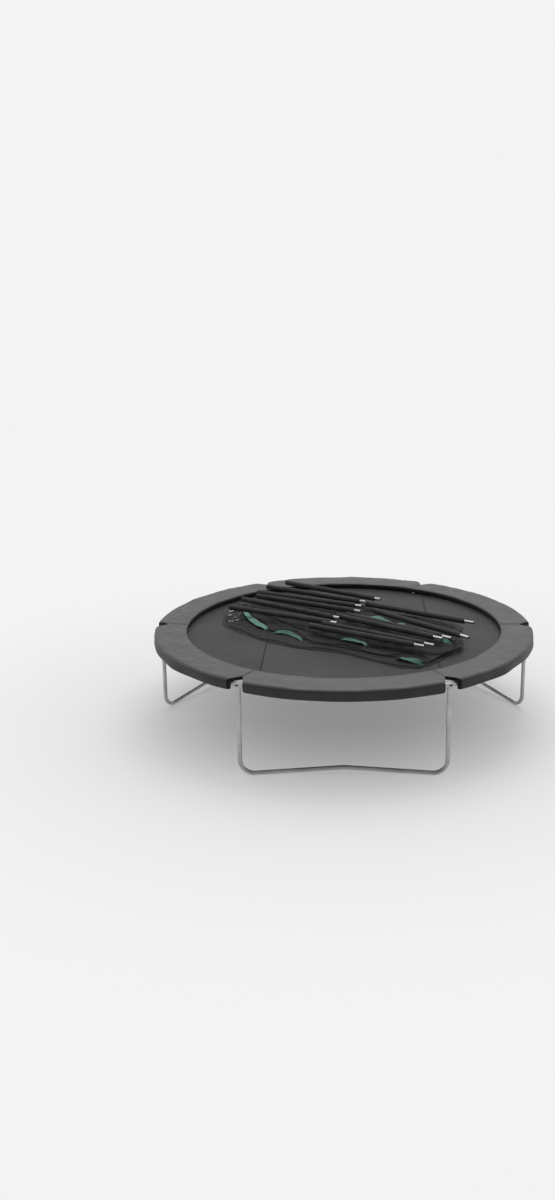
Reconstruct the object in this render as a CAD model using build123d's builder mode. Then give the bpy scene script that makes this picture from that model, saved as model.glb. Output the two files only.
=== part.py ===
from build123d import *
import os
from math import cos, radians, sin, tan

os.makedirs("parts", exist_ok=True)

# A round garden trampoline on three W-shaped legs, with the poles and the net of its safety
# enclosure lying loose on the mat. Millimetres, +Z up, the front towards -Y. The origin is on
# the floor, below the middle of the mat.

# ---------------------------------------------------------------- driving dimensions

SECTORS = 6
SECTOR_ANGLE = 360 / SECTORS
FRONT_SEAM_ANGLE = -120
SEAM_ANGLES = [FRONT_SEAM_ANGLE + SECTOR_ANGLE * i for i in range(SECTORS)]

# Pads that cover the ring and the springs
PAD_OUTER_R = 1220
PAD_INNER_R = 1015
PAD_TOP_Z = 585
PAD_THICKNESS = 22
PAD_RIM_RADIUS = 14
LIP_DEPTH = 33
LIP_THICKNESS = 4
SKIRT_DEPTH = 66
SKIRT_THICKNESS = 20
SEAM_GAP = 1.5
NOTCH_APEX_R = 1140
NOTCH_SLOPE = 0.69

# Ring of six curved tubes
RING_R = 1184
RING_Z = 547
TUBE_D = 25
TUBE_WALL = 1.5
RING_END_GAP = 12
RING_HOLE_D = 6

# Leg sockets: a sleeve over two tube ends, with a tube down to the leg
SLEEVE_D = 30
SLEEVE_BORE_D = 25.6
SLEEVE_HALF_LENGTH = 50
SOCKET_D = 28.6
SOCKET_BORE_D = 25.6
SOCKET_BOTTOM_Z = 320
SLOT_LENGTH = 24
SLOT_HEIGHT = 9
SCREW_OFFSET = 36
SCREW_D = 4.8
SCREW_HOLE_D = 5.4
SCREW_HEAD_D = 10
SCREW_HEAD_HEIGHT = 3
SCREW_REACH = 9

# W-shaped legs
LEG_TOP_Z = 430
LEG_BAR_SLOPE = 4
LEG_BEND_R = 80
LEG_PEAK_R = 90

# Snap buttons that lock each leg in its socket
BUTTON_Z = 332
BUTTON_D = 8
BUTTON_HOLE_D = 8.8
BUTTON_PROUD = 4
LEAF_OUTER = 9.8
LEAF_THICKNESS = 0.8
LEAF_WIDTH = 8
LEAF_LENGTH = 34

# Jumping mat with its hem, loops and rings
MAT_R = 1035
MAT_THICKNESS = 3
HEM_WIDTH = 35
HEM_THICKNESS = 1.2
LOOP_R = 1040
LOOP_D = 8
LOOP_BORE_D = 4.6
LOOP_WIDTH = 18
TAB_LENGTH = 25
TAB_THICKNESS = 1.4
V_RING_TIP_R = 1056.5
V_RING_HALF_WIDTH = 23
V_RING_WIRE_D = 3.6
V_RING_BEND_R = 4

# Springs between the rings and the tube
SPRING_COUNT = 48
SPRING_PITCH = 360 / SPRING_COUNT
COIL_D = 16
COIL_BORE_D = 12.8
COIL_INNER_R = 1074
COIL_OUTER_R = 1158
SPRING_WIRE_D = 3
HOOK_R = 4.7
HOOK_CENTRE_R = 1055
HOOK_DROP = 6

# Elastic straps that hold the pads to the tube
STRAP_WIDTH = 20
STRAP_BORE_D = 25.8
STRAP_D = 27.8
STRAP_ANGLES = (-15, 0, 15)

# Poles of the enclosure, in foam sleeves
POLE_Z = PAD_TOP_Z + 40
POLE_LENGTH = 810
POLE_D = 22
POLE_WALL = 1.5
SWAGE_D = 19
SWAGE_TAPER = 6
UPPER_STUB = 45
LOWER_STUB = 65
FOAM_D = 36
FOAM_BORE_D = 22.6
CAP_THICKNESS = 4
CAP_GAP = 0.3
CAP_SPIGOT_D = 18.4
CAP_SPIGOT_LENGTH = 18

# Where the bright end of each pole lies, and the way it points: x, y, angle from +X
UPPER_POLES = [(252, 441, -34), (150, 375, -30), (120, 270, -26)]
UPPER_POLES += [(110, 150, -28), (-30, 0, -34), (-45, -112, -27)]
LOWER_POLES = [(834, -105, -33), (767, -412, -46), (604, -434, -37)]
LOWER_POLES += [(658, -426, -38.5), (480, -582, -31), (541, -562, -33.5)]

# Folded net, a thin skirt around a thicker heap, and its edge band
NET_SKIRT_THICKNESS = 14
NET_TOP_Z = 604
NET_EDGE_R = 5
BAND_WIDTH = 36
BAND_THICKNESS = 1.5

# Open wire hooks at the net's left end
HOOK_LENGTH = 28
HOOK_WIDTH = 14
HOOK_OPENING = 10
HOOK_BEND_R = 5.5
HOOK_WIRE_D = 3

# ---------------------------------------------------------------- places worked out from them

MAT_TOP_Z = RING_Z + MAT_THICKNESS / 2
MAT_BOTTOM_Z = RING_Z - MAT_THICKNESS / 2
SPRING_START_ANGLE = FRONT_SEAM_ANGLE + SPRING_PITCH / 2
LEG_HALF_SPAN = RING_R * sin(radians(SECTOR_ANGLE / 2))
LEG_PLANE_R = RING_R * cos(radians(SECTOR_ANGLE / 2))


def polar_point(radius, angle, z=0):
    """The point at a radius and an angle from +X, at a height."""
    return (radius * cos(radians(angle)), radius * sin(radians(angle)), z)


def radial_plane(angle):
    """The upright plane through the Z axis at an angle: local x is the radius and local y is Z."""
    return Plane(
        origin=(0, 0, 0),
        x_dir=polar_point(1, angle),
        z_dir=polar_point(-1, angle + 90),
    )


def facing_plane(point, angle):
    """An upright plane at a point, facing outward along an angle."""
    return Plane(origin=point, x_dir=polar_point(1, angle + 90), z_dir=polar_point(1, angle))


def arc_angle(length):
    """The angle that a length covers along the ring."""
    return length / radians(1) / RING_R


# ---------------------------------------------------------------- ring tubes

for number, seam in enumerate(SEAM_ANGLES, start=1):
    end_angle = arc_angle(RING_END_GAP)
    with BuildPart() as ring_tube:
        with BuildSketch(radial_plane(seam + end_angle)):
            with Locations((RING_R, RING_Z)):
                Circle(TUBE_D / 2)
                Circle(TUBE_D / 2 - TUBE_WALL, mode=Mode.SUBTRACT)
        revolve(axis=Axis.Z, revolution_arc=SECTOR_ANGLE - 2 * end_angle)
        for hole in range(SPRING_COUNT // SECTORS):
            hole_angle = seam + SPRING_PITCH * (hole + 0.5)
            with BuildSketch(facing_plane(polar_point(RING_R - TUBE_D, hole_angle, RING_Z), hole_angle)):
                Circle(RING_HOLE_D / 2)
            extrude(amount=TUBE_D, mode=Mode.SUBTRACT)
        for screw_angle in (seam + arc_angle(SCREW_OFFSET), seam + SECTOR_ANGLE - arc_angle(SCREW_OFFSET)):
            with BuildSketch(Plane(origin=polar_point(RING_R, screw_angle, RING_Z - TUBE_D))):
                Circle(SCREW_HOLE_D / 2)
            extrude(amount=TUBE_D, mode=Mode.SUBTRACT)
    ring_tube.part.label = f"ring_tube_{number}"
    export_step(ring_tube.part, f"parts/ring_tube_{number}.step")

# ---------------------------------------------------------------- legs, their sockets and snap buttons

# Each leg stands under two neighbouring seams. The button faces the middle of its leg.
LEGS = {
    "front": (SEAM_ANGLES[0], SEAM_ANGLES[1]),
    "right": (SEAM_ANGLES[2], SEAM_ANGLES[3]),
    "left": (SEAM_ANGLES[4], SEAM_ANGLES[5]),
}
BUTTON_ANGLES = []
for first_seam, last_seam in LEGS.values():
    middle = (first_seam + last_seam) / 2
    BUTTON_ANGLES += [(first_seam, middle + 90), (last_seam, middle - 90)]

for number, (seam, button_angle) in enumerate(BUTTON_ANGLES, start=1):
    sleeve_angle = arc_angle(SLEEVE_HALF_LENGTH)
    with BuildPart() as leg_socket:
        with BuildSketch(radial_plane(seam - sleeve_angle)):
            with Locations((RING_R, RING_Z)):
                Circle(SLEEVE_D / 2)
        revolve(axis=Axis.Z, revolution_arc=2 * sleeve_angle)
        with BuildSketch(Plane(origin=polar_point(RING_R, seam, SOCKET_BOTTOM_Z))):
            Circle(SOCKET_D / 2)
        extrude(amount=RING_Z - SOCKET_BOTTOM_Z)
        with BuildSketch(radial_plane(seam - 2 * sleeve_angle)):
            with Locations((RING_R, RING_Z)):
                Circle(SLEEVE_BORE_D / 2)
        revolve(axis=Axis.Z, revolution_arc=4 * sleeve_angle, mode=Mode.SUBTRACT)
        with BuildSketch(Plane(origin=polar_point(RING_R, seam, SOCKET_BOTTOM_Z))):
            Circle(SOCKET_BORE_D / 2)
        extrude(amount=RING_Z - SOCKET_BOTTOM_Z, mode=Mode.SUBTRACT)
        with BuildSketch(facing_plane(polar_point(RING_R, seam, RING_Z), seam)):
            SlotOverall(SLOT_LENGTH, SLOT_HEIGHT)
        extrude(amount=SLEEVE_D, mode=Mode.SUBTRACT)
        for side in (-1, 1):
            screw_angle = seam + side * arc_angle(SCREW_OFFSET)
            with BuildSketch(Plane(origin=polar_point(RING_R, screw_angle, RING_Z - SLEEVE_D))):
                Circle(SCREW_HOLE_D / 2)
            extrude(amount=SLEEVE_D, mode=Mode.SUBTRACT)
        with BuildSketch(facing_plane(polar_point(RING_R, seam, BUTTON_Z), button_angle)):
            Circle(BUTTON_HOLE_D / 2)
        extrude(amount=SOCKET_D, mode=Mode.SUBTRACT)
    leg_socket.part.label = f"leg_socket_{number}"
    export_step(leg_socket.part, f"parts/leg_socket_{number}.step")

    # The button's pin is riveted to a leaf spring inside the leg
    with BuildPart() as snap_button:
        with BuildSketch(facing_plane(polar_point(RING_R, seam, BUTTON_Z), button_angle).offset(LEAF_OUTER)):
            Circle(BUTTON_D / 2)
        extrude(amount=SOCKET_D / 2 + BUTTON_PROUD - LEAF_OUTER)
        dome = snap_button.faces().sort_by(Axis(polar_point(RING_R, seam), polar_point(1, button_angle)))[-1]
        fillet(dome.edges(), BUTTON_D / 2 - 1)
        leaf_face = facing_plane(polar_point(RING_R, seam, BUTTON_Z), button_angle).offset(LEAF_OUTER - LEAF_THICKNESS)
        with BuildSketch(leaf_face):
            RectangleRounded(LEAF_WIDTH, LEAF_LENGTH, LEAF_WIDTH / 4)
        extrude(amount=LEAF_THICKNESS)
    snap_button.part.label = f"snap_button_{number}"
    export_step(snap_button.part, f"parts/snap_button_{number}.step")

# The bar's ends are set so that the lowest point of each bend stands on the floor
bar_tan = tan(radians(LEG_BAR_SLOPE))
bend_rise = LEG_BEND_R * (bar_tan + 1 / cos(radians(LEG_BAR_SLOPE)) - 1)
bar_end_z = TUBE_D / 2 - bend_rise
bar_peak_z = bar_end_z + LEG_HALF_SPAN * bar_tan

for name, seams in LEGS.items():
    middle = sum(seams) / 2
    leg_plane = Plane(
        origin=polar_point(LEG_PLANE_R, middle),
        x_dir=polar_point(1, middle + 90),
        z_dir=polar_point(1, middle),
    )
    with BuildPart() as w_leg:
        with BuildLine(leg_plane) as leg_path:
            FilletPolyline(
                (-LEG_HALF_SPAN, LEG_TOP_Z),
                (-LEG_HALF_SPAN, bar_end_z),
                (0, bar_peak_z),
                (LEG_HALF_SPAN, bar_end_z),
                (LEG_HALF_SPAN, LEG_TOP_Z),
                radius=[LEG_BEND_R, LEG_PEAK_R, LEG_BEND_R],
            )
        with BuildSketch(Plane(origin=leg_path.wire() @ 0, z_dir=leg_path.wire() % 0)):
            Circle(TUBE_D / 2)
            Circle(TUBE_D / 2 - TUBE_WALL, mode=Mode.SUBTRACT)
        sweep(path=leg_path.wire())
        for seam, button_angle in BUTTON_ANGLES:
            if seam in seams:
                with BuildSketch(facing_plane(polar_point(RING_R, seam, BUTTON_Z), button_angle)):
                    Circle(BUTTON_HOLE_D / 2)
                extrude(amount=SOCKET_D, mode=Mode.SUBTRACT)
    w_leg.part.label = f"w_leg_{name}"
    export_step(w_leg.part, f"parts/w_leg_{name}.step")

# Screws up through each sleeve into the tube ends
with BuildPart() as socket_screws:
    for seam in SEAM_ANGLES:
        for side in (-1, 1):
            screw_angle = seam + side * arc_angle(SCREW_OFFSET)
            head_top = RING_Z - SLEEVE_D / 2
            with BuildSketch(Plane(origin=polar_point(RING_R, screw_angle, head_top - SCREW_HEAD_HEIGHT))):
                Circle(SCREW_HEAD_D / 2)
            extrude(amount=SCREW_HEAD_HEIGHT)
            with BuildSketch(Plane(origin=polar_point(RING_R, screw_angle, head_top))):
                Circle(SCREW_D / 2)
            extrude(amount=SCREW_REACH)
socket_screws.part.label = "socket_screws"
export_step(socket_screws.part, "parts/socket_screws.step")

# ---------------------------------------------------------------- mat, hem, loops, rings and springs

with BuildPart() as jump_mat:
    with BuildSketch(Plane.XY.offset(MAT_BOTTOM_Z)):
        Circle(MAT_R)
    extrude(amount=MAT_THICKNESS)
jump_mat.part.label = "jump_mat"
export_step(jump_mat.part, "parts/jump_mat.step")

# A webbing loop is a tab sewn on the mat that ends in a tube around the ring's bar
with BuildPart() as ring_loop:
    with BuildSketch(Plane.XZ.offset(-LOOP_WIDTH / 2)):
        with Locations((LOOP_R, RING_Z)):
            Circle(LOOP_D / 2)
        with Locations((LOOP_R, RING_Z + LOOP_D / 2)):
            Rectangle(TAB_LENGTH, TAB_THICKNESS, align=(Align.MAX, Align.MAX))
        with Locations((LOOP_R, RING_Z)):
            Circle(LOOP_BORE_D / 2, mode=Mode.SUBTRACT)
    extrude(amount=LOOP_WIDTH)

# The hem's webbing runs under the mat's edge, and its loops share the node
with BuildPart() as mat_hem:
    with BuildSketch(Plane.XY.offset(MAT_BOTTOM_Z - HEM_THICKNESS)):
        Circle(MAT_R)
        Circle(MAT_R - HEM_WIDTH, mode=Mode.SUBTRACT)
    extrude(amount=HEM_THICKNESS)
    with PolarLocations(0, SPRING_COUNT, start_angle=SPRING_START_ANGLE):
        add(ring_loop.part)
mat_hem.part.label = "mat_hem"
export_step(mat_hem.part, "parts/mat_hem.step")

with BuildPart() as v_ring:
    with BuildLine(Plane.XY.offset(RING_Z)) as v_ring_path:
        FilletPolyline(
            (LOOP_R, -V_RING_HALF_WIDTH),
            (LOOP_R, V_RING_HALF_WIDTH),
            (V_RING_TIP_R, 0),
            radius=V_RING_BEND_R,
            close=True,
        )
    with BuildSketch(Plane(origin=v_ring_path.wire() @ 0, z_dir=v_ring_path.wire() % 0)):
        Circle(V_RING_WIRE_D / 2)
    sweep(path=v_ring_path.wire())

with BuildPart() as v_rings:
    with PolarLocations(0, SPRING_COUNT, start_angle=SPRING_START_ANGLE):
        add(v_ring.part)
v_rings.part.label = "v_rings"
export_step(v_rings.part, "parts/v_rings.step")

# One spring: a closed coil, drawn as a tube, with a hook at each end
with BuildPart() as spring:
    with BuildSketch(Plane.YZ.offset(COIL_INNER_R)):
        with Locations((0, RING_Z)):
            Circle(COIL_D / 2)
    extrude(amount=COIL_OUTER_R - COIL_INNER_R)
    with BuildSketch(Plane.YZ.offset(COIL_INNER_R + SPRING_WIRE_D)):
        with Locations((0, RING_Z)):
            Circle(COIL_BORE_D / 2)
    extrude(amount=COIL_OUTER_R - COIL_INNER_R - 2 * SPRING_WIRE_D, mode=Mode.SUBTRACT)
    with BuildLine(Plane.XZ) as mat_hook:
        Line((COIL_INNER_R + 1, RING_Z + HOOK_R), (HOOK_CENTRE_R, RING_Z + HOOK_R))
        CenterArc((HOOK_CENTRE_R, RING_Z), HOOK_R, 90, 180)
        Line((HOOK_CENTRE_R, RING_Z - HOOK_R), (HOOK_CENTRE_R + HOOK_R, RING_Z - HOOK_R))
    with BuildSketch(Plane(origin=mat_hook.wire() @ 0, z_dir=mat_hook.wire() % 0)):
        Circle(SPRING_WIRE_D / 2)
    sweep(path=mat_hook.wire())
    with BuildLine(Plane.XZ) as tube_hook:
        FilletPolyline(
            (COIL_OUTER_R - 1, RING_Z),
            (RING_R - HOOK_DROP, RING_Z),
            (RING_R - HOOK_DROP, RING_Z - HOOK_DROP),
            radius=SPRING_WIRE_D,
        )
    with BuildSketch(Plane(origin=tube_hook.wire() @ 0, z_dir=tube_hook.wire() % 0)):
        Circle(SPRING_WIRE_D / 2)
    sweep(path=tube_hook.wire())

with BuildPart() as springs:
    with PolarLocations(0, SPRING_COUNT, start_angle=SPRING_START_ANGLE):
        add(spring.part)
springs.part.label = "springs"
export_step(springs.part, "parts/springs.step")

# ---------------------------------------------------------------- pads and their straps


def seam_point(along, inward, side):
    """A point along the pad's seam and inward from it, on the pad's left (1) or right (-1)."""
    half = radians(SECTOR_ANGLE / 2)
    x = along * cos(half) + inward * sin(half)
    y = along * sin(half) - inward * cos(half)
    return (x, side * y)


def pad_wedge():
    """The wedge that cuts one pad, centred on local +X, from a full ring, with half a notch at each end."""
    past_rim = PAD_OUTER_R + 20
    notch_half_width = (past_rim - NOTCH_APEX_R) * NOTCH_SLOPE
    seam_points = [
        (PAD_INNER_R - 100, SEAM_GAP / 2),
        (NOTCH_APEX_R, SEAM_GAP / 2),
        (past_rim, notch_half_width),
        (past_rim * 1.1, past_rim * 0.2),
    ]
    left = [seam_point(along, inward, 1) for along, inward in seam_points]
    right = [seam_point(along, inward, -1) for along, inward in reversed(seam_points)]
    return left + right


# Each pad is a flat foam slab with a skirt that hangs down outside the ring, and a lip that
# hangs from its inner edge almost to the mat: bottom height, inner and outer radius, height
PAD_LAYERS = [
    (PAD_TOP_Z - PAD_THICKNESS, PAD_INNER_R, PAD_OUTER_R, PAD_THICKNESS),
    (PAD_TOP_Z - SKIRT_DEPTH, PAD_OUTER_R - SKIRT_THICKNESS, PAD_OUTER_R, SKIRT_DEPTH - PAD_THICKNESS),
    (PAD_TOP_Z - LIP_DEPTH, PAD_INNER_R, PAD_INNER_R + LIP_THICKNESS, LIP_DEPTH - PAD_THICKNESS),
]

for number, seam in enumerate(SEAM_ANGLES, start=1):
    pad_plane = Plane.XY.rotated((0, 0, seam + SECTOR_ANGLE / 2))
    with BuildPart() as pad:
        for bottom_z, inner_radius, outer_radius, height in PAD_LAYERS:
            with BuildSketch(pad_plane.offset(bottom_z)):
                Circle(outer_radius)
                Circle(inner_radius, mode=Mode.SUBTRACT)
                with BuildLine():
                    Polyline(*pad_wedge(), close=True)
                make_face(mode=Mode.INTERSECT)
            extrude(amount=height)
        arcs = pad.edges().filter_by(GeomType.CIRCLE)
        rim = arcs.filter_by(lambda arc: arc.radius > PAD_OUTER_R - 1).sort_by(Axis.Z)[-1]
        fillet(rim, PAD_RIM_RADIUS)
    pad.part.label = f"pad_{number}"
    export_step(pad.part, f"parts/pad_{number}.step")

with BuildPart() as pad_straps:
    for seam in SEAM_ANGLES:
        for offset_angle in STRAP_ANGLES:
            strap_angle = seam + SECTOR_ANGLE / 2 + offset_angle
            with BuildSketch(radial_plane(strap_angle).offset(-STRAP_WIDTH / 2)):
                with Locations((RING_R, RING_Z)):
                    Circle(STRAP_D / 2)
                    Circle(STRAP_BORE_D / 2, mode=Mode.SUBTRACT)
            extrude(amount=STRAP_WIDTH)
pad_straps.part.label = "pad_straps"
export_step(pad_straps.part, "parts/pad_straps.step")

# ---------------------------------------------------------------- poles of the enclosure


def pole_plane(tip_x, tip_y, angle):
    """The plane of a pole's half section: local x is its radius, and local y runs from its capped end to its tip."""
    start = (tip_x - POLE_LENGTH * cos(radians(angle)), tip_y - POLE_LENGTH * sin(radians(angle)), POLE_Z)
    return Plane(origin=start, x_dir=(0, 0, 1), z_dir=polar_point(1, angle + 90))


def tube_section(stub, tip_radius):
    """The half section of a pole's tube, which narrows to its tip past the foam."""
    shoulder = POLE_LENGTH - stub
    return [
        (POLE_D / 2, 0),
        (POLE_D / 2, shoulder),
        (tip_radius, shoulder + SWAGE_TAPER),
        (tip_radius, POLE_LENGTH),
        (tip_radius - POLE_WALL, POLE_LENGTH),
        (tip_radius - POLE_WALL, shoulder + SWAGE_TAPER),
        (POLE_D / 2 - POLE_WALL, shoulder),
        (POLE_D / 2 - POLE_WALL, 0),
    ]


def foam_section(stub):
    """The half section of a foam sleeve."""
    return [
        (FOAM_BORE_D / 2, 0),
        (FOAM_D / 2, 0),
        (FOAM_D / 2, POLE_LENGTH - stub),
        (FOAM_BORE_D / 2, POLE_LENGTH - stub),
    ]


def cap_section():
    """The half section of the plug that closes the tube's other end."""
    return [
        (0, -CAP_THICKNESS),
        (FOAM_D / 2 - 1, -CAP_THICKNESS),
        (FOAM_D / 2 - 1, -CAP_GAP),
        (CAP_SPIGOT_D / 2, -CAP_GAP),
        (CAP_SPIGOT_D / 2, CAP_SPIGOT_LENGTH),
        (0, CAP_SPIGOT_LENGTH),
    ]


for kind, places, stub, tip_radius in (
    ("upper", UPPER_POLES, UPPER_STUB, POLE_D / 2 - 0.5),
    ("lower", LOWER_POLES, LOWER_STUB, SWAGE_D / 2),
):
    for number, (tip_x, tip_y, angle) in enumerate(places, start=1):
        section_plane = pole_plane(tip_x, tip_y, angle)
        pole_axis = Axis(section_plane.origin, section_plane.y_dir)
        with BuildPart() as pole:
            with BuildSketch(section_plane):
                with BuildLine():
                    Polyline(*tube_section(stub, tip_radius), close=True)
                make_face()
            revolve(axis=pole_axis)
        pole.part.label = f"{kind}_pole_{number}"
        export_step(pole.part, f"parts/{kind}_pole_{number}.step")

        # The sleeve's node also holds the plug in the tube's end
        with BuildPart() as sleeve:
            for section in (foam_section(stub), cap_section()):
                with BuildSketch(section_plane):
                    with BuildLine():
                        Polyline(*section, close=True)
                    make_face()
                revolve(axis=pole_axis)
        sleeve.part.label = f"{kind}_sleeve_{number}"
        export_step(sleeve.part, f"parts/{kind}_sleeve_{number}.step")

# ---------------------------------------------------------------- folded net and its edge band

# Plans of the net: its thin outer folds, and the thicker heap that the poles lie on
NET_OUTLINE = [(-815, 430), (-810, 240), (-765, 90), (-620, -60), (-480, -210), (-270, -345), (10, -465)]
NET_OUTLINE += [(215, -630), (330, -735), (490, -750), (600, -600), (690, -420), (780, -100), (800, 60)]
NET_OUTLINE += [(640, 260), (300, 480), (0, 650), (-300, 790), (-560, 800), (-740, 640)]
HEAP_OUTLINE = [(-725, 440), (-640, 250), (-500, 60), (-380, -40), (-240, -140), (-100, -235), (100, -372)]
HEAP_OUTLINE += [(300, -500), (470, -595), (570, -570), (670, -430), (740, -150), (700, 60), (430, 250)]
HEAP_OUTLINE += [(150, 440), (-100, 630), (-330, 750), (-560, 720), (-690, 590)]

with BuildPart() as net_bundle:
    with BuildSketch(Plane.XY.offset(MAT_TOP_Z)):
        with BuildLine():
            Spline(*NET_OUTLINE, periodic=True)
        make_face()
    extrude(amount=NET_SKIRT_THICKNESS)
    with BuildSketch(Plane.XY.offset(MAT_TOP_Z)):
        with BuildLine():
            Spline(*HEAP_OUTLINE, periodic=True)
        make_face()
    extrude(amount=NET_TOP_Z - MAT_TOP_Z)
    fillet(net_bundle.faces().sort_by(Axis.Z)[-1].edges(), NET_EDGE_R)
net_bundle.part.label = "net_bundle"
export_step(net_bundle.part, "parts/net_bundle.step")

# The band along the net's edges shows in two places: on the front folds and on top of the heap
BAND_Z_SKIRT = MAT_TOP_Z + NET_SKIRT_THICKNESS
FRONT_BAND = [(-715, 300), (-640, 110), (-540, -30), (-400, -130), (-250, -230), (-60, -330), (150, -470)]
FRONT_BAND += [(330, -620), (460, -680)]
TOP_BAND = [(60, 125), (190, 70), (290, -35), (430, -140)]

with BuildPart() as net_band:
    for route, band_z in ((FRONT_BAND, BAND_Z_SKIRT), (TOP_BAND, NET_TOP_Z)):
        with BuildSketch(Plane.XY.offset(band_z)):
            with BuildLine():
                middle_line = Spline(*route)
            trace(middle_line, BAND_WIDTH)
        extrude(amount=BAND_THICKNESS)
net_band.part.label = "net_band"
export_step(net_band.part, "parts/net_band.step")

# Where each hook lies on the net's thin folds, and the way it points: x, y, angle from +X
NET_HOOKS = [(-774, 366, 20), (-771, 271, 75), (-750, 134, -15)]
NET_HOOKS += [(-714, 158, 35), (-730, 222, 130)]

with BuildPart() as net_hooks:
    for hook_x, hook_y, hook_angle in NET_HOOKS:
        hook_z = BAND_Z_SKIRT + HOOK_WIRE_D / 2
        with BuildLine(Plane(origin=(hook_x, hook_y, hook_z), x_dir=polar_point(1, hook_angle))) as hook_path:
            FilletPolyline(
                (-HOOK_OPENING / 2, HOOK_WIDTH / 2),
                (-HOOK_LENGTH / 2, HOOK_WIDTH / 2),
                (-HOOK_LENGTH / 2, -HOOK_WIDTH / 2),
                (HOOK_LENGTH / 2, -HOOK_WIDTH / 2),
                (HOOK_LENGTH / 2, HOOK_WIDTH / 2),
                (HOOK_OPENING / 2, HOOK_WIDTH / 2),
                radius=HOOK_BEND_R,
            )
        with BuildSketch(Plane(origin=hook_path.wire() @ 0, z_dir=hook_path.wire() % 0)):
            Circle(HOOK_WIRE_D / 2)
        sweep(path=hook_path.wire())
net_hooks.part.label = "net_hooks"
export_step(net_hooks.part, "parts/net_hooks.step")
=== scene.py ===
"""The looks of a round garden trampoline with its enclosure's poles and net lying on the mat.

Metres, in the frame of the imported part: +Z up, the front towards -Y, the floor at z = 0.
"""

from math import cos, pi, radians, sin, tan

import bpy
import numpy as np
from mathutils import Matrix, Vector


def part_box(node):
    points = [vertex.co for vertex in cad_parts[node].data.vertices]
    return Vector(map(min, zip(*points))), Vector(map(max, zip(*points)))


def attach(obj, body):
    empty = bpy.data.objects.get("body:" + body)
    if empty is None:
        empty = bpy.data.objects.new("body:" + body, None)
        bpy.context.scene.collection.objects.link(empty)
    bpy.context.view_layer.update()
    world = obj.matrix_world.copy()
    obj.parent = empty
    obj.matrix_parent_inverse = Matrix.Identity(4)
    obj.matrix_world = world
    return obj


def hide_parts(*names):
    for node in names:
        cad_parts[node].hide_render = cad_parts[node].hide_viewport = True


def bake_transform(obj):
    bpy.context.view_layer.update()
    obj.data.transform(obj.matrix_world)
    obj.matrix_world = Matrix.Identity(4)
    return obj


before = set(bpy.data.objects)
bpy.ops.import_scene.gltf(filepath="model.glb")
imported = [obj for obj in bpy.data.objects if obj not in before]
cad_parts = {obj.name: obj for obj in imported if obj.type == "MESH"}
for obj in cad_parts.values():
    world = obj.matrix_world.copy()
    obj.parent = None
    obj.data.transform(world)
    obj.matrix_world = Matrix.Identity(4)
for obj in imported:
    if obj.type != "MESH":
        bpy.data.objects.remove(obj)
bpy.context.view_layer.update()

# ---------------------------------------------------------------- sizes shared with the frame

SECTORS = 6
SECTOR = radians(360 / SECTORS)
SEAMS = [radians(-120 + 60 * i) for i in range(SECTORS)]
PAD_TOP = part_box("pad_1")[1][2]
PAD_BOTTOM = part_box("pad_1")[0][2]
PAD_OUTER_R = -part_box("pad_1")[0][1]
PAD_INNER_R = 1.015
PAD_THICKNESS = 0.022
# The lip hangs below the pad's thickness, down to the mat, in near-black cloth. It is partly the pad's own inner flap
# and partly a dark sheet that paints the shade in the gap under the pad's edge.
LIP_DEPTH = 0.0348
LIP_THICKNESS = 0.004
SKIRT_THICKNESS = 0.020
NOTCH_APEX_R = 1.140
NOTCH_SLOPE = 0.69
SEAM_GAP = 0.0015
MAT_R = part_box("jump_mat")[1][0]
MAT_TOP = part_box("jump_mat")[1][2]
MAT_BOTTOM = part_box("jump_mat")[0][2]
RING_R = 1.184
RING_Z = 0.547
TUBE_R = 0.0125
SPRING_COUNT = 48
SPRING_PITCH = 2 * pi / SPRING_COUNT
SPRING_ANGLES = [SEAMS[0] + SPRING_PITCH * (i + 0.5) for i in range(SPRING_COUNT)]
FOAM_R = 0.018
FOAM_BORE_R = 0.0113
FOAM_EDGE_R = 0.004
SIX = range(1, 7)


# ---------------------------------------------------------------- camera, floor and lights

CAMERA_DISTANCE = 6.600
CAMERA_ABOVE_PADS = 2.048
CAMERA_PITCH = 14.37
LENS = 31.72
SHIFT_X = -0.0553
SHIFT_Y = -0.0242

# The world's level behind the trampoline and in front of it, with the directions where it changes
BACKGROUND = 0.90
BACKDROP = (BACKGROUND, BACKGROUND, BACKGROUND, 1)
FRONT_LEVEL = 0.22
DIM_START = 0.10
DIM_END = -0.85

# The floor's own colour, and how it fades into the backdrop with the distance from a middle point; the floor's glow is
# painted light, which also lightens the cast shadow under the trampoline
FLOOR_HALF = 60
FLOOR_COLOUR = (0.72, 0.72, 0.72, 1)
FLOOR_GLOW = 0.23
FADE_MIDDLE = (0, 0.25, 0)
FADE_START = 0.4
FADE_END = 3.4


def make_camera():
    """A long view from the front, a little above, with the trampoline low in the frame."""
    data = bpy.data.cameras.new("camera")
    data.sensor_width = 36
    data.lens = LENS
    data.shift_x = SHIFT_X
    data.shift_y = SHIFT_Y
    data.clip_end = 200
    camera = bpy.data.objects.new("camera", data)
    camera.location = (0, -CAMERA_DISTANCE, PAD_TOP + CAMERA_ABOVE_PADS)
    camera.rotation_euler = (radians(90 - CAMERA_PITCH), 0, 0)
    bpy.context.scene.collection.objects.link(camera)
    bpy.context.scene.camera = camera


def make_light(name, place, target, size, power):
    """A square soft box that faces a target point."""
    data = bpy.data.lights.new(name, "AREA")
    data.shape = "SQUARE"
    data.size = size
    data.energy = power
    light = bpy.data.objects.new(name, data)
    light.location = place
    aim = bpy.data.objects.new(name + "_aim", None)
    aim.location = target
    bpy.context.scene.collection.objects.link(light)
    bpy.context.scene.collection.objects.link(aim)
    track = light.constraints.new("TRACK_TO")
    track.target = aim
    track.track_axis = "TRACK_NEGATIVE_Z"
    track.up_axis = "UP_Y"


def new_material(name):
    """A material, its node tree and its shader."""
    material = bpy.data.materials.new(name)
    material.use_nodes = True
    tree = material.node_tree
    return material, tree, tree.nodes["Principled BSDF"]


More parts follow.
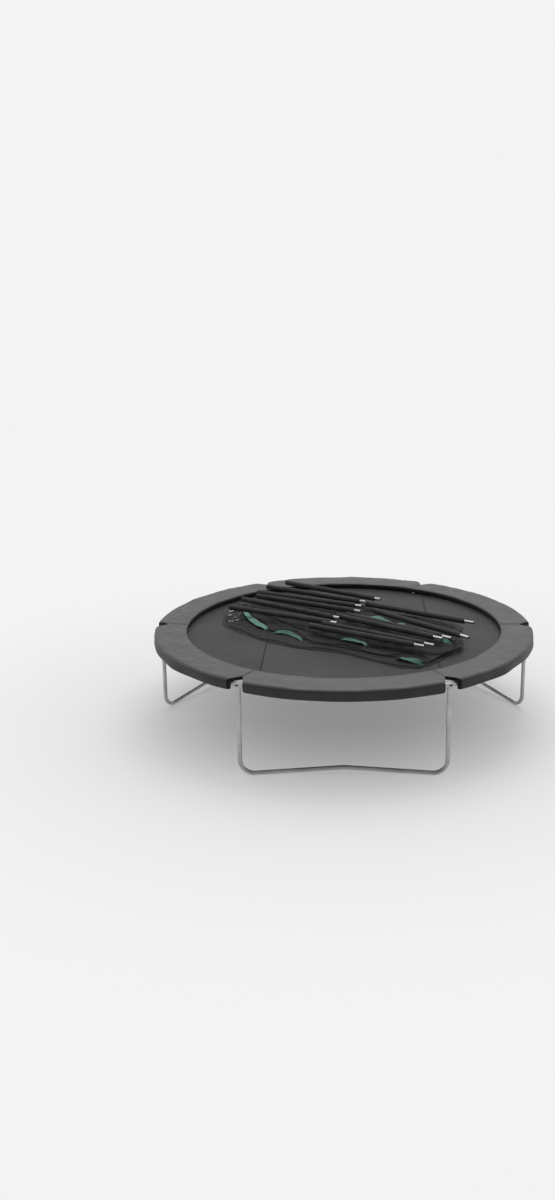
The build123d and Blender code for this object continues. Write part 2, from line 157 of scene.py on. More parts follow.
def node(tree, kind, **values):
    """Add a node and set its input sockets by name, or its properties."""
    made = tree.nodes.new(kind)
    for key, value in values.items():
        if key in made.inputs:
            made.inputs[key].default_value = value
        else:
            setattr(made, key, value)
    return made


def link(tree, source, target):
    tree.links.new(source, target)


def ramp(tree, source, low, high, first, last, kind="LINEAR"):
    """Map a value from one range onto another, clamped."""
    made = node(tree, "ShaderNodeMapRange", interpolation_type=kind)
    for name, value in (("From Min", low), ("From Max", high), ("To Min", first), ("To Max", last)):
        made.inputs[name].default_value = value
    link(tree, source, made.inputs["Value"])
    return made.outputs["Result"]


def mix_shaders(tree, factor, first, last, output):
    """Show one shader where the factor is 0 and another where it is 1."""
    mix = node(tree, "ShaderNodeMixShader")
    for socket, source in zip(mix.inputs, (factor, first.outputs[0], last.outputs[0])):
        link(tree, source, socket)
    link(tree, mix.outputs[0], tree.nodes[output].inputs["Surface"])


def make_floor():
    """A pale floor that fades, away from the trampoline, into the even backdrop; it glows with painted light
    everywhere, least under the trampoline a little toward its back, which lightens its cast shadow.
    """
    mesh = bpy.data.meshes.new("floor")
    corners = [(-1, -1), (1, -1), (1, 1), (-1, 1)]
    mesh.from_pydata([(x * FLOOR_HALF, y * FLOOR_HALF, 0) for x, y in corners], [], [(0, 1, 2, 3)])
    floor = bpy.data.objects.new("floor", mesh)
    bpy.context.scene.collection.objects.link(floor)
    material, tree, shader = new_material("floor")
    shader.inputs["Base Color"].default_value = FLOOR_COLOUR
    shader.inputs["Roughness"].default_value = 0.9
    shader.inputs["Specular IOR Level"].default_value = 0.1
    distance = node(tree, "ShaderNodeVectorMath", operation="DISTANCE")
    distance.inputs[1].default_value = FADE_MIDDLE
    link(tree, node(tree, "ShaderNodeTexCoord").outputs["Object"], distance.inputs[0])
    fade = ramp(tree, distance.outputs["Value"], FADE_START, FADE_END, FLOOR_GLOW, 1, "SMOOTHSTEP")
    # Painted light: the floor's glow lightens the cast shadow under the trampoline.
    glow = node(tree, "ShaderNodeEmission", Color=BACKDROP)
    mix_shaders(tree, fade, shader, glow, "Material Output")
    mesh.materials.append(material)


def make_world():
    """An even backdrop, and soft light from all round that is dimmer from the front."""
    world = bpy.data.worlds.new("world")
    bpy.context.scene.world = world
    world.use_nodes = True
    tree = world.node_tree
    split = node(tree, "ShaderNodeSeparateXYZ")
    link(tree, node(tree, "ShaderNodeTexCoord").outputs["Generated"], split.inputs[0])
    light = tree.nodes["Background"]
    level = ramp(tree, split.outputs["Y"], DIM_END, DIM_START, FRONT_LEVEL, BACKGROUND, "SMOOTHSTEP")
    link(tree, level, light.inputs["Color"])
    light.inputs["Strength"].default_value = 1.0
    backdrop = node(tree, "ShaderNodeBackground", Color=BACKDROP)
    seen = node(tree, "ShaderNodeLightPath").outputs["Is Camera Ray"]
    mix_shaders(tree, seen, light, backdrop, "World Output")


bpy.context.scene.view_settings.view_transform = "Standard"
make_camera()
make_floor()
make_world()
make_light("key", (0.5, 1.5, 5.0), (0, 0, 0.5), 4.0, 120)


# ---------------------------------------------------------------- small mesh tools


def make_object(name, points, faces, material):
    """A smooth mesh object from points and faces."""
    mesh = bpy.data.meshes.new(name)
    mesh.from_pydata([tuple(point) for point in points], [], faces)
    mesh.validate()
    mesh.shade_smooth()
    mesh.materials.append(material)
    obj = bpy.data.objects.new(name, mesh)
    bpy.context.scene.collection.objects.link(obj)
    return obj


def grid_faces(rows, columns, closed=False, ring=False):
    """Quads over a grid of points stored row by row. A closed grid joins its last column to its first,
    and a ring also joins its last row to its first."""
    faces = []
    for row in range(rows if ring else rows - 1):
        low = row * columns
        high = (row + 1) % rows * columns
        for column in range(columns if closed else columns - 1):
            after = (column + 1) % columns
            faces.append((low + column, low + after, high + after, high + column))
    return faces


def end_caps(rows, columns):
    """The faces that close both ends of a tube."""
    return [tuple(range(columns))[::-1], tuple((rows - 1) * columns + k for k in range(columns))]


def ripple(points, size, seed, waves=14):
    """Smooth random heights, mostly between -1 and 1, with bumps about that size in metres."""
    points = np.asarray(points, float)
    rng = np.random.default_rng(seed)
    total = np.zeros(len(points))
    for _ in range(waves):
        direction = rng.normal(size=points.shape[1])
        direction /= np.linalg.norm(direction)
        wave = 2 * pi / (size * rng.uniform(0.7, 1.8))
        total += np.sin(points @ direction * wave + rng.uniform(0, 2 * pi))
    return total / np.sqrt(waves)


def smooth_step(value, low, high):
    """0 below low, 1 above high, and smooth between them."""
    t = np.clip((np.asarray(value, float) - low) / (high - low), 0, 1)
    return t * t * (3 - 2 * t)


def unit(rows):
    """Each row as a vector of length one."""
    return rows / np.linalg.norm(rows, axis=1)[:, None]


def distance_along(path):
    """How far along a path each of its points lies."""
    return np.concatenate([[0], np.cumsum(np.linalg.norm(np.diff(path, axis=0), axis=1))])


def circle(turns, axis, side, up, radius):
    """Points round an axis point, for each turn in radians."""
    return [axis + radius * (cos(turn) * side + sin(turn) * up) for turn in turns]


def full_turn(sides):
    """Evenly spaced angles round a circle."""
    return [2 * pi * k / sides for k in range(sides)]


def mesh_points(obj):
    """The vertices of a mesh object as an array."""
    points = np.empty(len(obj.data.vertices) * 3)
    obj.data.vertices.foreach_get("co", points)
    return points.reshape(-1, 3)


def turned(points, angle):
    """Points turned about the Z axis."""
    points = np.asarray(points, float)
    turn = np.array([[cos(angle), sin(angle), 0], [-sin(angle), cos(angle), 0], [0, 0, 1]])
    return points @ turn


def add_uv(obj, columns_uv):
    """Give a mesh a UV map with one pair per vertex, in metres."""
    layer = obj.data.uv_layers.new(name="cloth")
    index = np.empty(len(obj.data.loops), int)
    obj.data.loops.foreach_get("vertex_index", index)
    layer.data.foreach_set("uv", np.asarray(columns_uv, float)[index].ravel())


def tube_along(path, radius, sides=8):
    """Points and faces of a round tube along a path."""
    path = np.asarray(path, float)
    ahead = unit(np.gradient(path, axis=0))
    up = unit(np.cross(ahead, np.roll(ahead, 1, axis=0) + np.array([0.013, 0.017, 1.0])))
    side = np.cross(ahead, up)
    points = []
    for i in range(len(path)):
        points += circle(full_turn(sides), path[i], up[i], side[i], radius)
    return points, grid_faces(len(path), sides, closed=True) + end_caps(len(path), sides)


class Batch:
    """Many small shapes gathered into one mesh."""

    def __init__(self):
        self.points = []
        self.faces = []

    def add(self, points, faces):
        first = len(self.points)
        self.points.extend(points)
        self.faces.extend(tuple(first + i for i in face) for face in faces)

    def make(self, name, material):
        return make_object(name, self.points, self.faces, material)


def stitch(batch, start, end, normal, radius):
    """One stitch: a short thread that rises from the cloth and dips back into it."""
    start = np.asarray(start, float)
    end = np.asarray(end, float)
    normal = np.asarray(normal, float)
    along = (end - start) / np.linalg.norm(end - start)
    side = np.cross(along, normal) * radius
    points = []
    for share, lift, width in ((0.0, -0.6, 0.5), (0.25, 0.7, 1.0), (0.75, 0.7, 1.0), (1.0, -0.6, 0.5)):
        middle = start + (end - start) * share + normal * radius * lift
        rise = normal * radius * width * 0.8
        points += [middle + side * width, middle + rise, middle - side * width, middle - rise]
    batch.add(points, grid_faces(4, 4, closed=True) + end_caps(4, 4))


def stitch_row(batch, path, normals, pitch=0.008, share=0.6, radius=0.0005):
    """A row of stitches along a path on a cloth."""
    path = np.asarray(path, float)
    normals = np.asarray(normals, float)
    along = distance_along(path)
    for i in range(int(along[-1] / pitch)):
        ends = [pitch * (i + 0.1), pitch * (i + 0.1 + share)]
        pair = np.stack([np.interp(ends, along, path[:, k]) for k in range(3)], axis=1)
        normal = np.array([np.interp(ends[0], along, normals[:, k]) for k in range(3)])
        stitch(batch, pair[0], pair[1], normal / np.linalg.norm(normal), radius)


# ---------------------------------------------------------------- materials

# The pitches of the weaves, in metres
COATED_PITCH = 0.0016
MAT_PITCH = 0.0022
WEBBING_PITCH = 0.0024
NET_CELL = 0.0032


def noise(tree, scale, detail=3.0):
    """A noise texture in the object's own coordinates."""
    texture = node(tree, "ShaderNodeTexNoise", Scale=scale, Detail=detail, Roughness=0.55)
    link(tree, node(tree, "ShaderNodeTexCoord").outputs["Object"], texture.inputs["Vector"])
    return texture.outputs["Fac"]


def shades(tree, factor, colour, dark, light):
    """A colour between a darker and a lighter shade of one colour, by a factor socket."""
    mix = node(tree, "ShaderNodeMix", data_type="RGBA")
    link(tree, factor, mix.inputs["Factor"])
    sockets = [socket for socket in mix.inputs if socket.type == "RGBA"]
    for socket, level in zip(sockets, (dark, light)):
        socket.default_value = tuple(channel * level for channel in colour) + (1,)
    return [socket for socket in mix.outputs if socket.type == "RGBA"][0]


def calc(tree, operation, *values):
    """One arithmetic step on sockets or numbers."""
    made = node(tree, "ShaderNodeMath", operation=operation)
    for socket, value in zip(made.inputs, values):
        if isinstance(value, (int, float)):
            socket.default_value = value
        else:
            link(tree, value, socket)
    return made.outputs[0]


def bump(tree, shader, height, distance, strength=1.0):
    """Raise the surface by a height socket."""
    made = node(tree, "ShaderNodeBump", Strength=strength, Distance=distance)
    link(tree, height, made.inputs["Height"])
    link(tree, made.outputs["Normal"], shader.inputs["Normal"])


def cloth_plane(tree):
    """The two cloth coordinates of a mesh with a UV map, in metres."""
    uv = node(tree, "ShaderNodeUVMap", uv_map="cloth")
    split = node(tree, "ShaderNodeSeparateXYZ")
    link(tree, uv.outputs["UV"], split.inputs[0])
    return split.outputs["X"], split.outputs["Y"]


def wave(tree, coordinate, pitch):
    """A sine from 0 to 1 along a coordinate."""
    sine = calc(tree, "SINE", calc(tree, "MULTIPLY", coordinate, 2 * pi / pitch))
    return calc(tree, "MULTIPLY_ADD", sine, 0.5, 0.5)


def galvanised_steel(name, tint, roughness=0.36):
    """Zinc-coated steel: soft spangle, faint streaks and a slightly uneven sheen."""
    material, tree, shader = new_material(name)
    spangle = noise(tree, 55, detail=2)
    cloud = noise(tree, 9, detail=4)
    base = shades(tree, ramp(tree, cloud, 0.35, 0.65, 0, 1), tint, 0.82, 1.12)
    link(tree, base, shader.inputs["Base Color"])
    shader.inputs["Metallic"].default_value = 0.92
    rough = ramp(tree, spangle, 0.3, 0.7, roughness - 0.06, roughness + 0.10)
    link(tree, rough, shader.inputs["Roughness"])
    bump(tree, shader, calc(tree, "ADD", spangle, noise(tree, 420, detail=2)), 0.00008, 0.5)
    return material


def coated_cloth(name, colour, fade, roughness):
    """Coated woven cloth: a fine weave under a matt film, with faint patches and scuffs."""
    material, tree, shader = new_material(name)
    patches = noise(tree, 3.1, detail=5)
    grain = noise(tree, 900, detail=2)
    base = shades(tree, ramp(tree, patches, 0.3, 0.7, 0, 1), colour, 1 - fade, 1 + fade)
    link(tree, base, shader.inputs["Base Color"])
    rough = ramp(tree, noise(tree, 14, detail=4), 0.3, 0.7, roughness - 0.05, roughness + 0.07)
    link(tree, rough, shader.inputs["Roughness"])
    shader.inputs["Specular IOR Level"].default_value = 0.42
    x, y = cloth_plane(tree)
    weave = calc(tree, "MULTIPLY", wave(tree, x, COATED_PITCH), wave(tree, y, COATED_PITCH))
    bump(tree, shader, calc(tree, "ADD", weave, calc(tree, "MULTIPLY", grain, 0.6)), 0.00009, 0.6)
    return material


def mesh_weave(name, colour):
    """Woven polypropylene: flat bright tapes crossing in a fine basket weave, dark between them."""
    material, tree, shader = new_material(name)
    x, y = cloth_plane(tree)
    first = wave(tree, x, MAT_PITCH)
    second = wave(tree, y, MAT_PITCH)
    crossing = calc(tree, "MULTIPLY", first, second)
    weave = calc(tree, "MAXIMUM", calc(tree, "MULTIPLY", first, 0.8), second)
    patches = noise(tree, 2.3, detail=4)
    base = shades(tree, ramp(tree, crossing, 0.0, 0.8, 0, 1), colour, 0.55, 1.25)
    cross_bars = calc(tree, "MULTIPLY", wave(tree, y, 0.019), 0.6)
    bars = calc(tree, "ADD", wave(tree, x, 0.013), cross_bars)
    mottle = calc(tree, "ADD", patches, calc(tree, "MULTIPLY", bars, 0.34))
    shade = ramp(tree, mottle, 0.35, 1.0, 0.82, 1.22)
    darker = node(tree, "ShaderNodeVectorMath", operation="SCALE")
    link(tree, base, darker.inputs[0])
    link(tree, shade, darker.inputs["Scale"])
    link(tree, darker.outputs[0], shader.inputs["Base Color"])
    link(tree, ramp(tree, patches, 0.3, 0.7, 0.46, 0.60), shader.inputs["Roughness"])
    shader.inputs["Specular IOR Level"].default_value = 0.27
    bump(tree, shader, weave, 0.0002, 0.6)
    return material


def webbing(name, colour, pitch=WEBBING_PITCH):
    """Woven tape: a fine rib across its length."""
    material, tree, shader = new_material(name)
    x, y = cloth_plane(tree)
    rib = wave(tree, y, pitch)
    cross = wave(tree, x, pitch * 0.7)
    base = shades(tree, ramp(tree, calc(tree, "MULTIPLY", rib, cross), 0, 1, 0, 1), colour, 0.6, 1.3)
    link(tree, base, shader.inputs["Base Color"])
    shader.inputs["Roughness"].default_value = 0.82
    shader.inputs["Specular IOR Level"].default_value = 0.25
    bump(tree, shader, calc(tree, "ADD", rib, calc(tree, "MULTIPLY", cross, 0.5)), 0.0003, 0.7)
    return material


def foam(name, colour):
    """Closed-cell foam: matt, with fine pores and a slightly mottled skin."""
    material, tree, shader = new_material(name)
    place = node(tree, "ShaderNodeTexCoord").outputs["Object"]
    cells = node(tree, "ShaderNodeTexVoronoi", Scale=520)
    link(tree, place, cells.inputs["Vector"])
    patches = noise(tree, 16, detail=4)
    base = shades(tree, ramp(tree, patches, 0.3, 0.7, 0, 1), colour, 0.75, 1.25)
    link(tree, base, shader.inputs["Base Color"])
    shader.inputs["Roughness"].default_value = 0.78
    shader.inputs["Specular IOR Level"].default_value = 0.3
    bump(tree, shader, calc(tree, "ADD", cells.outputs["Distance"], patches), 0.0003, 0.6)
    return material


def netting(name, colour):
    """Knitted net: fine dark strands with open cells between them."""
    material, tree, shader = new_material(name)
    x, y = cloth_plane(tree)
    diagonal = wave(tree, calc(tree, "ADD", x, y), NET_CELL)
    counter = wave(tree, calc(tree, "SUBTRACT", x, y), NET_CELL)
    strands = calc(tree, "MAXIMUM", diagonal, counter)
    solid = ramp(tree, strands, 0.70, 0.86, 0.0, 1.0)
    cover = calc(tree, "ADD", calc(tree, "MULTIPLY", solid, 0.80), 0.16)
    tone = noise(tree, 5, detail=3)
    base = shades(tree, ramp(tree, tone, 0.3, 0.7, 0, 1), colour, 0.7, 1.35)
    link(tree, base, shader.inputs["Base Color"])
    shader.inputs["Roughness"].default_value = 0.62
    shader.inputs["Specular IOR Level"].default_value = 0.3
    link(tree, cover, shader.inputs["Alpha"])
    bump(tree, shader, strands, 0.0004, 0.5)
    return material


def plain_plastic(name, colour, roughness):
    """Moulded plastic with a fine grain."""
    material, tree, shader = new_material(name)
    patches = noise(tree, 30, detail=3)
    base = shades(tree, ramp(tree, patches, 0.3, 0.7, 0, 1), colour, 0.85, 1.15)
    link(tree, base, shader.inputs["Base Color"])
    rough = ramp(tree, patches, 0.3, 0.7, roughness - 0.04, roughness + 0.06)
    link(tree, rough, shader.inputs["Roughness"])
    bump(tree, shader, noise(tree, 1500, detail=2), 0.00005, 0.5)
    return material


STEEL = galvanised_steel("galvanised_tube", (0.46, 0.465, 0.47))
ZINC = galvanised_steel("zinc_fastener", (0.66, 0.66, 0.64), roughness=0.28)
SPRING_WIRE = galvanised_steel("spring_steel", (0.55, 0.55, 0.54), roughness=0.26)
PAD_CLOTH = coated_cloth("pad_vinyl", (0.060, 0.059, 0.060), 0.05, 0.47)
# The skirt cloth is far darker than the top cloth: its dark colour is painted shade on the pads' sides.
SKIRT_PAINTED_SHADE_CLOTH = coated_cloth("skirt_vinyl_painted_shade", (0.013, 0.013, 0.013), 0.06, 0.50)
# Near-black cloth for the pads' edges, underside and lip: the edges' own black, and also painted shade for the gap
# under the pads' inner edge.
EDGE_AND_PAINTED_SHADE_CLOTH = coated_cloth("pad_edge_and_painted_shade", (0.006, 0.006, 0.006), 0.06, 0.60)
THREAD = plain_plastic("thread", (0.035, 0.035, 0.037), 0.7)
MAT_CLOTH = mesh_weave("mat_mesh", (0.026, 0.026, 0.0265))
HEM_TAPE = webbing("hem_tape", (0.020, 0.020, 0.021))
SEAM_TAPE = webbing("seam_tape", (0.026, 0.026, 0.026))
ELASTIC = webbing("elastic", (0.015, 0.015, 0.016), 0.0016)
FOAM = foam("sleeve_foam", (0.037, 0.037, 0.037))
CAP = plain_plastic("pole_cap", (0.010, 0.010, 0.010), 0.45)
NET = netting("net_mesh", (0.016, 0.016, 0.017))
NET_EDGE = plain_plastic("net_edge", (0.020, 0.020, 0.021), 0.7)
BAND = webbing("net_band", (0.155, 0.330, 0.250), 0.003)
CORD = plain_plastic("cord", (0.17, 0.145, 0.14), 0.7)
# A darker copy of the band's green for the middle and right stretches: painted shade.
BAND_PAINTED_SHADE = webbing("net_band_painted_shade", (0.090, 0.200, 0.155), 0.003)


# ---------------------------------------------------------------- pads


PAD_CROWN = 0.002
PAD_SPAN = PAD_OUTER_R * SECTOR / 2
RIM_R = 0.016
EDGE_R = 0.004
EDGE_STEPS = 5
SKIRT_SWING = 0.0035


def rounded_path(corners, radii, steps=8):
    """A path through corners in a plane, each rounded to its radius."""
    points = [np.array(corners[0], float)]
    for i in range(1, len(corners) - 1):
        corner = np.array(corners[i], float)
        back = np.array(corners[i - 1]) - corner
        ahead = np.array(corners[i + 1]) - corner
        back /= np.linalg.norm(back)
        ahead /= np.linalg.norm(ahead)
        radius = radii[i - 1]
        middle = (back + ahead) / np.linalg.norm(back + ahead)
        half = np.arccos(np.clip(back @ ahead, -1, 1)) / 2
        centre = corner + middle * radius / sin(half)
        first = corner + back * radius / tan(half) - centre
        last = corner + ahead * radius / tan(half) - centre
        for step in range(steps + 1):
            share = step / steps
            point = first * (1 - share) + last * share
            points.append(centre + point / np.linalg.norm(point) * radius)
    points.append(np.array(corners[-1], float))
    return np.array(points)


def resampled(path, count):
    """The path with that many points at even spacing."""
    along = distance_along(path)
    steps = np.linspace(0, along[-1], count)
    return np.stack([np.interp(steps, along, path[:, k]) for k in range(path.shape[1])], axis=1)


def pad_profile(count=44):
    """The pad's section as radius and height: its outer path and its inner one."""
    lip_middle = (PAD_INNER_R + LIP_THICKNESS / 2, PAD_TOP - LIP_DEPTH)
    skirt_middle = (PAD_OUTER_R - SKIRT_THICKNESS / 2, PAD_BOTTOM)
    outer = [
        lip_middle,
        (PAD_INNER_R, PAD_TOP - LIP_DEPTH),
        (PAD_INNER_R, PAD_TOP),
        (PAD_OUTER_R, PAD_TOP),
        (PAD_OUTER_R, PAD_BOTTOM),
        skirt_middle,
    ]
    inner = [
        lip_middle,
        (PAD_INNER_R + LIP_THICKNESS, PAD_TOP - LIP_DEPTH),
        (PAD_INNER_R + LIP_THICKNESS, PAD_TOP - PAD_THICKNESS),
        (PAD_OUTER_R - SKIRT_THICKNESS, PAD_TOP - PAD_THICKNESS),
        (PAD_OUTER_R - SKIRT_THICKNESS, PAD_BOTTOM),
        skirt_middle,
    ]
    outer_path = rounded_path(outer, (0.0012, 0.006, RIM_R, 0.006))
    inner_path = rounded_path(inner, (0.0012, 0.002, 0.004, 0.006))
    return resampled(outer_path, count), resampled(inner_path, count)


def seam_inset(along):
    """How far the pad's end lies from the seam's line, at a distance along it."""
    return SEAM_GAP / 2 + np.maximum(along - NOTCH_APEX_R, 0) * NOTCH_SLOPE


def pad_reach(radius):
    """Half the angle that a pad covers at a radius."""
    along = radius
    for _ in range(12):
        along = np.sqrt(radius ** 2 - seam_inset(along) ** 2)
    return SECTOR / 2 - np.arctan2(seam_inset(along), along)


def pad_slack(number):
    """How loosely a pad's cover lies, as a share of the usual."""
    return np.random.default_rng(number).uniform(0.85, 1.25)


def pad_waves(number, points):
    """Shallow waves in the top of a pad's cover."""
    waves = 0.0011 * ripple(points, 0.16, 40 + number) + 0.0006 * ripple(points, 0.05, 60 + number)
    return pad_slack(number) * waves


def skirt_swing(number, plan, height):
    """How far the skirt hangs out from or in from its circle."""
    hang = smooth_step(PAD_TOP - height, RIM_R, 0.06)
    return pad_slack(number) * hang * SKIRT_SWING * ripple(plan, 0.30, 80 + number)


def pad_stations(columns):
    """The sections along a pad: a place from -1 to 1, and how far the section shrinks there to round the ends."""
    stations = []
    for share in np.linspace(-1, 1, columns):
        end = (1 - abs(share)) * PAD_SPAN
        stations.append((share, EDGE_R - np.sqrt(max(EDGE_R ** 2 - max(EDGE_R - end, 0) ** 2, 0))))
    for sign in (-1, 1):
        for k in range(1, EDGE_STEPS):
            left = EDGE_R - EDGE_R * k / EDGE_STEPS
            share = sign * (1 - (EDGE_R - np.sqrt(EDGE_R ** 2 - left ** 2)) / PAD_SPAN)
            stations.append((share, left))
    return sorted(set((round(share, 7), round(drop, 7)) for share, drop in stations))


def pad_end_faces(count, half, start, flip):
    """The faces that close one end of a pad, between its outer path and its inner one."""
    faces = []
    for k in range(half - 1):
        inner_first = start + (count - k) % count
        inner_next = start + (count - k - 1) % count if k < half - 2 else start + half - 1
        quad = tuple(dict.fromkeys((start + k, start + k + 1, inner_next, inner_first)))
        if len(quad) > 2:
            faces.append(quad[::-1] if flip else quad)
    return faces


def pad_cloth_index(face):
    """Which cloth a face of a pad gets: 0 on top, 1 on the skirt's outside, a darker cloth that paints the shade on
    the pads' sides, 2 at edges and below, a near-black cloth that is the edges' own black and also paints the shade
    under the pads' inner edge.
    """
    centre = face.center
    if face.normal.z > 0.25 and centre.z > PAD_TOP - RIM_R:
        return 0
    outside = (centre.x ** 2 + centre.y ** 2) ** 0.5 > PAD_OUTER_R - 0.008
    return 1 if outside and centre.z < PAD_TOP - RIM_R / 2 else 2


def make_pad(number, seam, columns=150):
    """One pad: a foam slab with a hanging skirt in coated cloth, softly rounded at its ends."""
    outer, inner = pad_profile()
    profile = np.concatenate([outer, inner[-2:0:-1]])
    ahead = unit(np.roll(profile, -1, axis=0) - np.roll(profile, 1, axis=0))
    inward = np.stack([ahead[:, 1], -ahead[:, 0]], axis=1)
    middle_angle = seam + SECTOR / 2
    stations = pad_stations(columns)
    points = []
    for share, drop in stations:
        radius, height = (profile + inward * drop).T
        angle = middle_angle + share * pad_reach(profile[:, 0])
        flat = np.stack([radius * np.cos(angle), radius * np.sin(angle), height], axis=1)
        top = smooth_step(height, PAD_TOP - 0.010, PAD_TOP - 0.001)
        across = np.clip((radius - PAD_INNER_R) / (PAD_OUTER_R - PAD_INNER_R), 0, 1)
        crown = PAD_CROWN * np.sin(pi * across) - 0.0015 * smooth_step(abs(share), 0.93, 1.0)
        flat[:, 2] += top * (crown + pad_waves(number, flat))
        on_skirt = smooth_step(radius, PAD_OUTER_R - 0.03, PAD_OUTER_R - 0.018)
        swing = on_skirt * skirt_swing(number, flat[:, :2], height)
        flat[:, 0] += swing * np.cos(angle)
        flat[:, 1] += swing * np.sin(angle)
        points.extend(flat)
    count = len(profile)
    faces = grid_faces(len(stations), count, closed=True)
    faces += pad_end_faces(count, len(outer), 0, False)
    faces += pad_end_faces(count, len(outer), (len(stations) - 1) * count, True)
    pad = make_object(f"pad_cover_{number}", points, faces, PAD_CLOTH)
    pad.data.materials.append(SKIRT_PAINTED_SHADE_CLOTH)
    pad.data.materials.append(EDGE_AND_PAINTED_SHADE_CLOTH)
    placed = mesh_points(pad)
    radius = np.linalg.norm(placed[:, :2], axis=1)
    around = np.arctan2(placed[:, 1], placed[:, 0])
    turn = np.angle(np.exp(1j * (around - middle_angle)))
    add_uv(pad, np.stack([radius + (PAD_TOP - placed[:, 2]), turn * PAD_OUTER_R], axis=1))
    for face in pad.data.polygons:
        face.material_index = pad_cloth_index(face)
    return pad


def make_pads():
    """The six pads, each in its own soft sewn cover."""
    for number, seam in enumerate(SEAMS, start=1):
        pad = make_pad(number, seam)
        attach(pad, "frame")
        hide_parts(f"pad_{number}")
        make_pad_stitches(number, seam)


def make_pad_stitches(number, seam):
    """A row of thread near the pad's inner edge, and one round its skirt's hem."""
    batch = Batch()
    middle = seam + SECTOR / 2
    radius = PAD_INNER_R + 0.012
    reach = pad_reach(np.array([radius]))[0] - 0.006
    angles = middle + np.linspace(-reach, reach, 160)
    level = np.full(len(angles), PAD_TOP)
    path = np.stack([radius * np.cos(angles), radius * np.sin(angles), level], axis=1)
    across = (radius - PAD_INNER_R) / (PAD_OUTER_R - PAD_INNER_R)
    path[:, 2] += PAD_CROWN * sin(pi * across) + pad_waves(number, path)
    stitch_row(batch, path, [(0, 0, 1)] * len(path))
    hem_z = PAD_BOTTOM + 0.009
    reach = pad_reach(np.array([PAD_OUTER_R]))[0] - 0.004
    angles = middle + np.linspace(-reach, reach, 200)
    out = np.stack([np.cos(angles), np.sin(angles)], axis=1)
    radii = PAD_OUTER_R + skirt_swing(number, out * PAD_OUTER_R, hem_z)
    level = np.full(len(angles), hem_z)
    stitch_row(batch, np.column_stack([out * radii[:, None], level]), np.column_stack([out, 0 * level]))
    thread = batch.make(f"pad_stitches_{number}", THREAD)
    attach(thread, "frame")


make_pads()


# ---------------------------------------------------------------- mat, hem, loops and springs

MAT_SEAMS = (-0.485, 0.565)
MAT_SEAM_WIDTH = 0.010
SCALLOP_DEPTH = 0.0022
HEM_WIDTH = 0.035
HEM_THICKNESS = 0.0012


def scallop(angle):
    """How far the mat's edge is drawn in at an angle: least at a spring, most between two."""
    return -SCALLOP_DEPTH * (1 - np.cos((angle - SPRING_ANGLES[0]) * SPRING_COUNT))


def mat_height(points):
    """How far the mat's cloth lies above or below its level."""
    points = np.asarray(points, float)
    radius = np.linalg.norm(points[:, :2], axis=1)
    angle = np.arctan2(points[:, 1], points[:, 0])
    pull = np.cos((angle - SPRING_ANGLES[0]) * SPRING_COUNT)
    near_edge = smooth_step(radius, 0.80, MAT_R)
    sag = -0.0035 * (1 - smooth_step(radius, 0.0, 0.95))
    return sag + 0.0006 * near_edge * pull + 0.0007 * ripple(points[:, :2], 0.35, 7)


def make_mat(rings=90, columns=384):
    """The jumping mat: one stretched sheet, pulled into slight scallops by its springs."""
    radii = MAT_R * np.linspace(0, 1, rings + 1)[1:] ** 0.8
    angles = np.linspace(0, 2 * pi, columns, endpoint=False)
    points = [(0, 0, 0)]
    for radius in radii:
        drawn = radius + scallop(angles) * (radius / MAT_R) ** 30
        points += zip(drawn * np.cos(angles), drawn * np.sin(angles), 0 * angles)
    points = np.array(points, float)
    points[:, 2] = MAT_TOP - 0.0005 + mat_height(points)
    faces = [tuple(i + 1 for i in face)[::-1] for face in grid_faces(rings, columns, closed=True)]
    faces += [(0, k + 1, (k + 1) % columns + 1) for k in range(columns)]
    mat = make_object("mat_cloth", points, faces, MAT_CLOTH)
    add_uv(mat, points[:, :2])
    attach(mat, "mat")
    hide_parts("jump_mat")
    return mat


def make_mat_seams():
    """Two seams from front to back that join the mat's panels: narrow folds with two rows of thread."""
    cloth = Batch()
    thread = Batch()
    fold = ((-0.5, -0.0004), (-0.4, 0.0006), (0.0, 0.0009), (0.4, 0.0006), (0.5, -0.0004))
    for middle in MAT_SEAMS:
        reach = (MAT_R ** 2 - middle ** 2) ** 0.5 - 0.004
        steps = np.linspace(-reach, reach, 220)
        rows = []
        for y in steps:
            for share, lift in fold:
                x = middle + share * MAT_SEAM_WIDTH
                rows.append((x, y, MAT_TOP + mat_height([(x, y)])[0] + lift))
        cloth.add(rows, [face[::-1] for face in grid_faces(len(steps), len(fold))])
        for offset in (-0.0028, 0.0028):
            path = [(middle + offset, y, MAT_TOP + mat_height([(middle, y)])[0] + 0.0007) for y in steps]
            stitch_row(thread, path, [(0, 0, 1)] * len(path), pitch=0.009)
    seams = cloth.make("mat_seams", SEAM_TAPE)
    add_uv(seams, mesh_points(seams)[:, :2])
    stitches = thread.make("mat_seam_thread", THREAD)
    for piece in (seams, stitches):
        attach(piece, "mat")
    return [seams, stitches]


